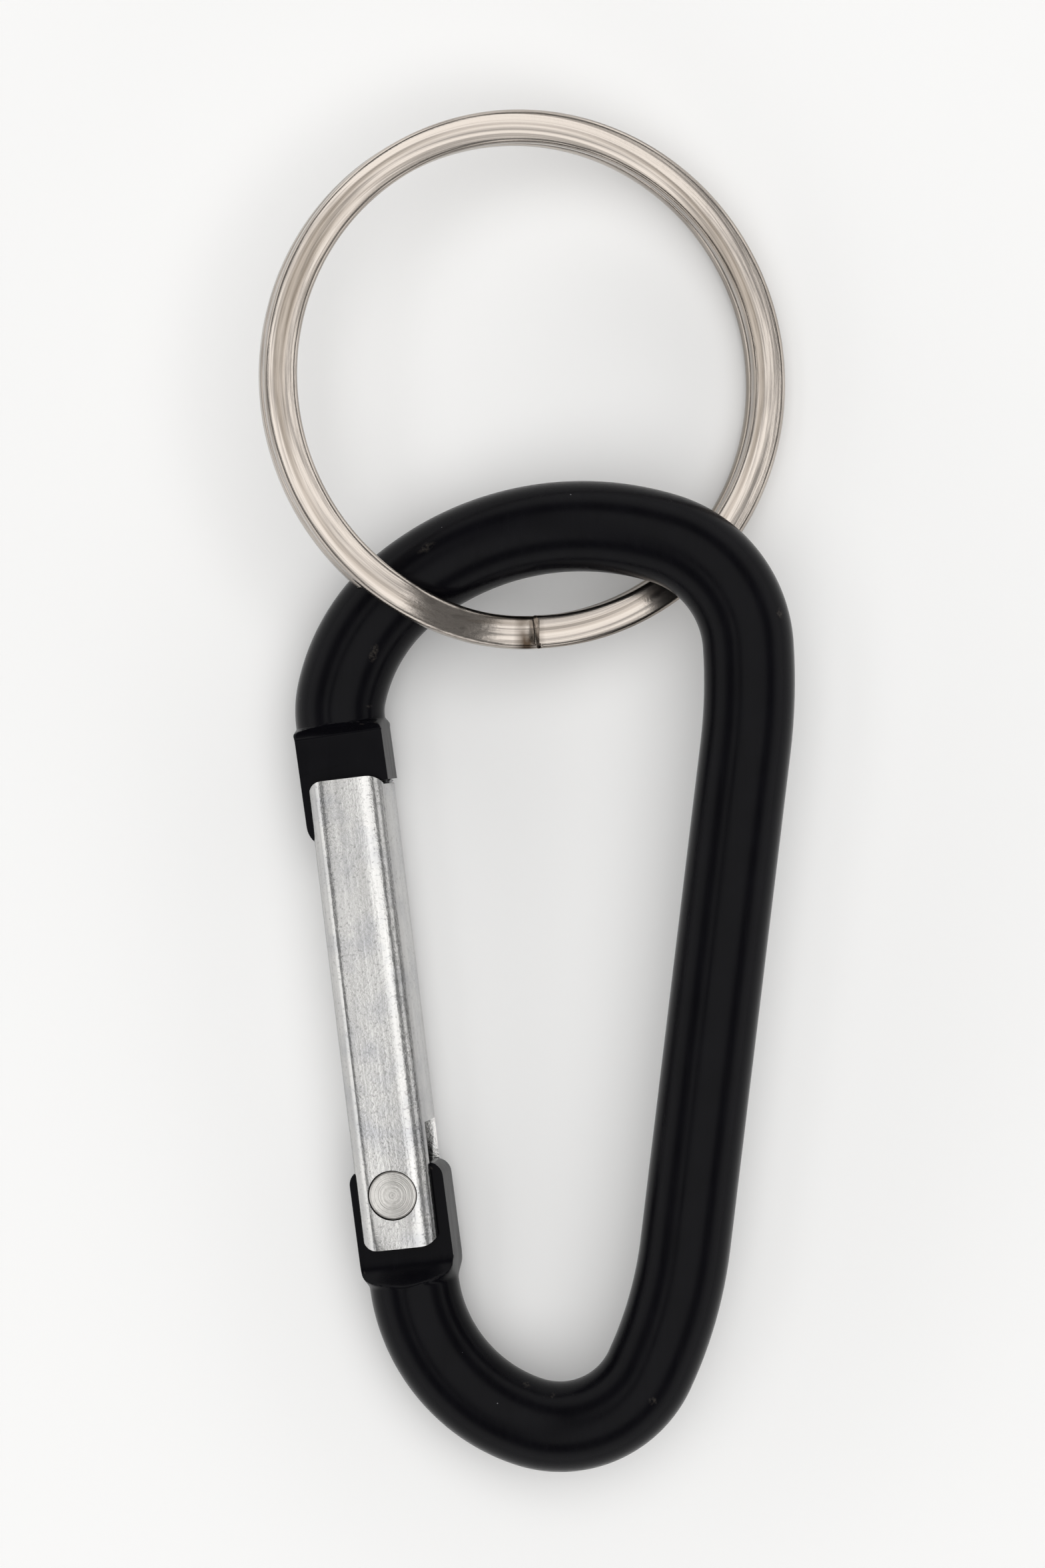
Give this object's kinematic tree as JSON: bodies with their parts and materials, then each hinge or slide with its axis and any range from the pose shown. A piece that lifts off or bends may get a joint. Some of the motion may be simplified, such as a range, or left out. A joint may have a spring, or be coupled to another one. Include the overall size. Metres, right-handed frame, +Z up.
{
  "type": "carabiner keyring",
  "caption": "Pear-shaped bent-rod carabiner with a riveted sprung sheet gate, lying flat with a split key ring linked through its bow.",
  "frame": {"origin": "middle of the underside, on the surface that the set lies on", "axes": "+Z up, +Y from the gate's hinge towards the split ring, +X from the gate towards the spine"},
  "size_m": [0.032, 0.0822, 0.0102],
  "materials": {
    "body": "black anodised, satin gloss",
    "gate": "bare rolled sheet, tumbled",
    "rivet": "bare, turned face",
    "spring": "drawn wire",
    "ring": "nickel plated steel"
  },
  "bodies": {
    "carabiner": {"carabiner_body": "body", "gate_spring": "spring"},
    "gate": {"gate": "gate", "gate_rivet": "rivet"},
    "ring": {"split_ring": "ring"}
  },
  "joints": [
    {"name": "gate_hinge", "type": "hinge", "parent": "carabiner", "child": "gate", "pos_m": [-0.00772, -0.02422, 0.0027], "axis": [0.1703, 0.0239, -0.9851], "range_deg": [0, 35], "stiffness_Nm_per_rad": 0.02, "springref_deg": -28.65, "deforming": ["gate_spring"]},
    {"name": "ring_swing", "type": "hinge", "parent": "carabiner", "child": "ring", "pos_m": [0.00938, 0.01477, 0.0066], "axis": [-0.8766, 0.4603, -0.1403], "range_deg": [0, 90]}
  ]
}
